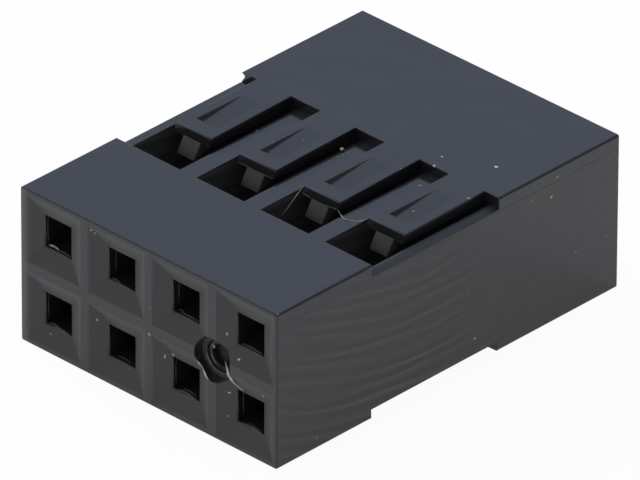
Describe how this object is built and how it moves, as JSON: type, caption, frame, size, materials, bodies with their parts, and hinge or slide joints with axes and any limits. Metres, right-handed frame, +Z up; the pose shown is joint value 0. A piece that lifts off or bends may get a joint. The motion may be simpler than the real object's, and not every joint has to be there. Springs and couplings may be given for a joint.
{
  "type": "crimp connector housing",
  "caption": "Dual-row black plastic housing that holds crimped socket terminals on a square grid, each locked by a springy tongue in a latch window.",
  "frame": {"origin": "centre of the underside, midway between the mating face and the wire end", "axes": "+X across the columns, +Y from the mating face towards the wire end, +Z up from the lower row to the upper row"},
  "size_m": [0.0102, 0.014, 0.0051],
  "materials": {
    "housing": "as-moulded satin black"
  },
  "bodies": {
    "root": {"housing": "housing"}
  },
  "joints": []
}
